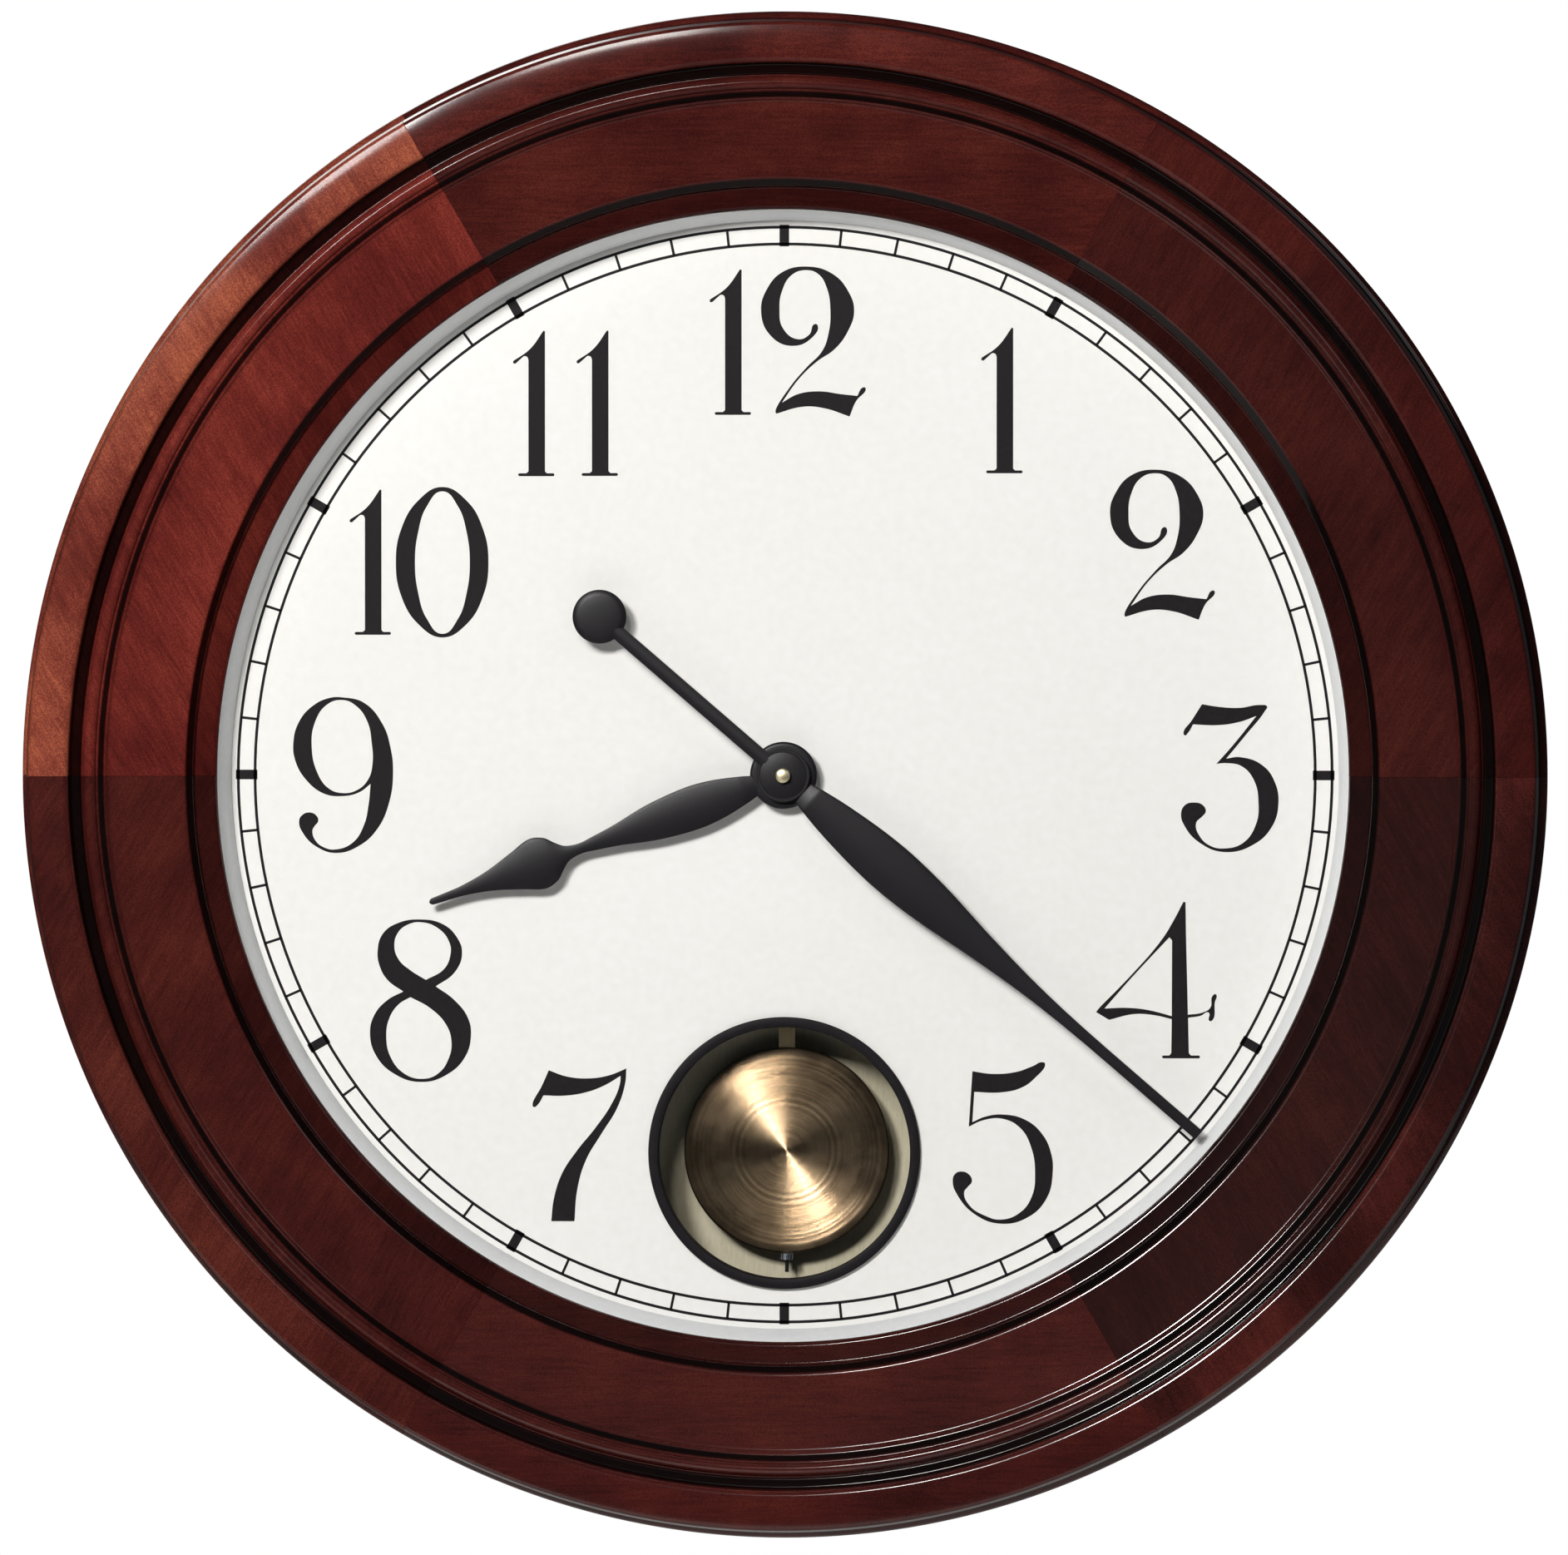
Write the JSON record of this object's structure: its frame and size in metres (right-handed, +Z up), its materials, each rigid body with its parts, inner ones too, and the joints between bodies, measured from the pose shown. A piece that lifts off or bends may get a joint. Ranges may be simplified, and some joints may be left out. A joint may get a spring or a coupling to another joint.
{
  "type": "round pendulum wall clock",
  "caption": "Round wooden wall clock with a stepped turned rim, white numeral dial behind glass, two black hands, and a round dial window showing a battery-driven brass pendulum.",
  "frame": {"origin": "point of the wall plane behind the axis of the hands", "axes": "+X to the right, +Z up, +Y into the wall; the dial faces -Y"},
  "size_m": [0.635, 0.084, 0.635],
  "materials": {
    "mahogany": "satin lacquered red-brown hardwood",
    "case_wood": "stained plywood",
    "panel_board": "beige hardboard",
    "zinc_steel": "zinc plated",
    "contact_steel": "nickel plated spring steel",
    "clear_glass": "clear, polished",
    "liner_white": "matt white",
    "dial_white": "off-white enamel on board, printed",
    "satin_black": "satin black",
    "turned_brass": "turned",
    "antique_brass": "spun, antique",
    "case_plastic": "moulded, fine texture",
    "plate_plastic": "moulded",
    "washer_rubber": "soft",
    "gear_plastic": "natural acetal",
    "knob_plastic": "moulded",
    "magnet_ferrite": "ground ferrite",
    "stator_steel": "stamped",
    "copper_wire": "enamelled copper wire",
    "board_green": "solder mask",
    "chip_black": "moulded epoxy",
    "bright_steel": "bright plated",
    "dark_steel": "blackened thread",
    "battery_sleeve": "plain printed sleeve"
  },
  "bodies": {
    "root": {"aperture_bezel": "satin_black", "back_panel": "panel_board", "back_panel_screws": "zinc_steel", "battery_minus_spring": "contact_steel", "battery_plus_contact": "contact_steel", "case_hoop": "case_wood", "circuit_board": "board_green", "coil_bobbin": "plate_plastic", "coil_winding": "copper_wire", "cushion_washer": "washer_rubber", "dial_board": "dial_white", "dial_clip_screws": "zinc_steel", "dial_clips": "zinc_steel", "gear_mid_plate": "plate_plastic", "glass": "clear_glass", "hanger_block": "case_wood", "hanger_plate": "zinc_steel", "hanger_screws": "zinc_steel", "liner_ring": "liner_white", "mounting_nut": "turned_brass", "mounting_washer": "turned_brass", "movement_back_housing": "case_plastic", "movement_front_housing": "case_plastic", "pendulum_coil": "copper_wire", "pivot_pin": "stator_steel", "quartz_crystal": "bright_steel", "rim_segment_1": "mahogany", "rim_segment_2": "mahogany", "rim_segment_3": "mahogany", "rim_segment_4": "mahogany", "rim_segment_5": "mahogany", "rim_segment_6": "mahogany", "stator": "stator_steel", "timing_chip": "chip_black"},
    "minute_work": {"centre_wheel": "gear_plastic", "minute_hand": "satin_black", "minute_hand_bush": "turned_brass", "cap_nut": "turned_brass"},
    "hour_work": {"hour_wheel": "gear_plastic", "hour_hand": "satin_black", "hour_hand_collet": "turned_brass"},
    "motion_work": {"motion_wheel": "gear_plastic"},
    "third_work": {"third_wheel": "gear_plastic"},
    "seconds_work": {"seconds_wheel": "gear_plastic"},
    "fifth_work": {"fifth_wheel": "gear_plastic"},
    "rotor_work": {"rotor_pinion": "gear_plastic", "rotor_magnet": "magnet_ferrite"},
    "setting_knob": {"set_knob": "knob_plastic"},
    "pendulum": {"pendulum_hanger": "case_plastic", "pendulum_magnet": "magnet_ferrite", "pendulum_rod": "antique_brass", "bob_face": "antique_brass", "bob_backing": "plate_plastic", "rating_screw": "dark_steel"},
    "rating_nut": {"rating_nut": "bright_steel"},
    "battery_cell": {"battery": "battery_sleeve"}
  },
  "joints": [
    {"name": "minute_turn", "type": "hinge", "parent": "root", "child": "minute_work", "pos_m": [0, -0.04, 0], "axis": [0, 1, 0], "continuous": true},
    {"name": "hour_turn", "type": "hinge", "parent": "root", "child": "hour_work", "pos_m": [0, -0.04, 0], "axis": [0, 1, 0], "continuous": true},
    {"name": "motion_turn", "type": "hinge", "parent": "root", "child": "motion_work", "pos_m": [0.0048, -0.031, -0.00831], "axis": [0, 1, 0], "continuous": true},
    {"name": "third_turn", "type": "hinge", "parent": "root", "child": "third_work", "pos_m": [-0.00958, -0.0235, -0.00349], "axis": [0, 1, 0], "continuous": true},
    {"name": "seconds_turn", "type": "hinge", "parent": "root", "child": "seconds_work", "pos_m": [0, -0.0205, 0], "axis": [0, 1, 0], "continuous": true},
    {"name": "fifth_turn", "type": "hinge", "parent": "root", "child": "fifth_work", "pos_m": [0.00438, -0.018, 0.00758], "axis": [0, 1, 0], "continuous": true},
    {"name": "rotor_turn", "type": "hinge", "parent": "root", "child": "rotor_work", "pos_m": [0.01158, -0.022, 0.00758], "axis": [0, 1, 0], "continuous": true},
    {"name": "knob_turn", "type": "hinge", "parent": "root", "child": "setting_knob", "pos_m": [0.0048, -0.01, -0.01791], "axis": [0, 1, 0], "continuous": true},
    {"name": "pendulum_swing", "type": "hinge", "parent": "root", "child": "pendulum", "pos_m": [0, -0.0179, -0.034], "axis": [0, 1, 0], "range_deg": [-5, 5]},
    {"name": "rating_nut_turn", "type": "hinge", "parent": "pendulum", "child": "rating_nut", "pos_m": [0, -0.0179, -0.202], "axis": [0, 0, 1], "continuous": true},
    {"name": "battery_slide", "type": "slide", "parent": "root", "child": "battery_cell", "axis": [0, 1, 0], "range_m": [0, 0.034]}
  ],
  "couplings": [
    {"joint": "hour_turn", "follows": "minute_turn", "ratio": 0.083333},
    {"joint": "motion_turn", "follows": "minute_turn", "ratio": -0.33333},
    {"joint": "third_turn", "follows": "minute_turn", "ratio": -7.5},
    {"joint": "seconds_turn", "follows": "minute_turn", "ratio": 60},
    {"joint": "fifth_turn", "follows": "minute_turn", "ratio": -360},
    {"joint": "rotor_turn", "follows": "minute_turn", "ratio": 1800},
    {"joint": "knob_turn", "follows": "minute_turn", "ratio": 1}
  ]
}
